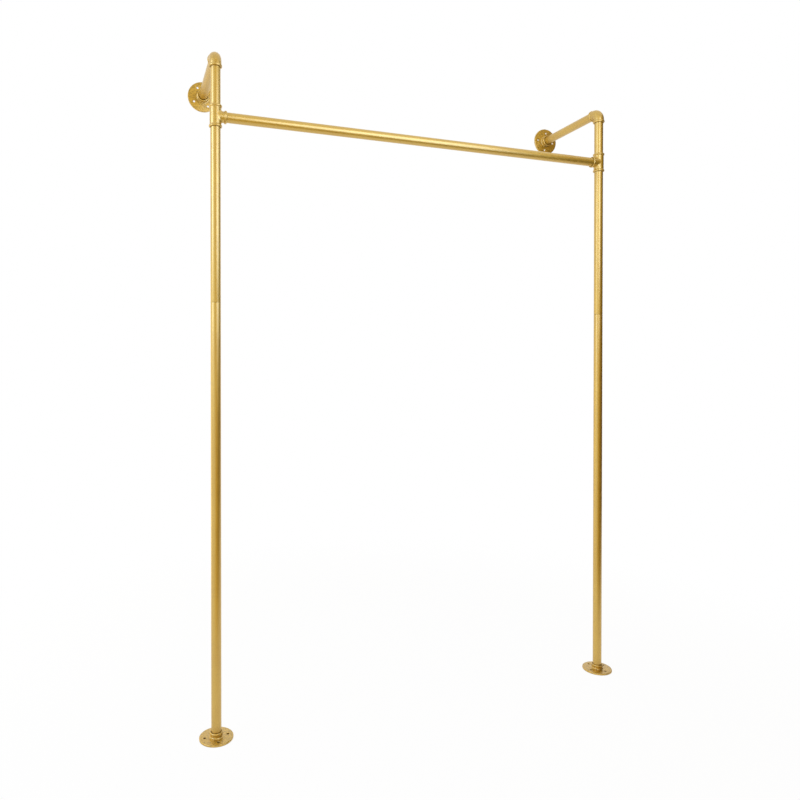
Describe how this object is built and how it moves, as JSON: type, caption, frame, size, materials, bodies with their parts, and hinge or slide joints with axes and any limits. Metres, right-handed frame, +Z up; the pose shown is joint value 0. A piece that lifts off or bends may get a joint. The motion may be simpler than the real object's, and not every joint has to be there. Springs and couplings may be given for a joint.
{
  "type": "clothes rack",
  "caption": "Floor-to-wall clothes rack of round pipe: flanged uprights, a hanging bar between tees, and arms that turn back to wall flanges.",
  "frame": {"origin": "on the floor, under the middle of the rack's bounding box", "axes": "+X along the hanging bar, +Y towards the wall, +Z up"},
  "size_m": [1.3214, 0.328, 1.8515],
  "materials": {
    "pipe_gold": "satin gold paint on drawn pipe",
    "cast_gold": "satin gold paint on cast fittings",
    "stud_steel": "plain turned steel"
  },
  "bodies": {
    "root": {"hanging_bar": "pipe_gold", "lower_upright_left": "pipe_gold", "upper_upright_left": "pipe_gold", "riser_left": "pipe_gold", "wall_arm_left": "pipe_gold", "tee_left": "cast_gold", "elbow_left": "cast_gold", "floor_flange_left": "cast_gold", "wall_flange_left": "cast_gold", "joining_stud_left": "stud_steel", "lower_upright_right": "pipe_gold", "upper_upright_right": "pipe_gold", "riser_right": "pipe_gold", "wall_arm_right": "pipe_gold", "tee_right": "cast_gold", "elbow_right": "cast_gold", "floor_flange_right": "cast_gold", "wall_flange_right": "cast_gold", "joining_stud_right": "stud_steel"}
  },
  "joints": []
}
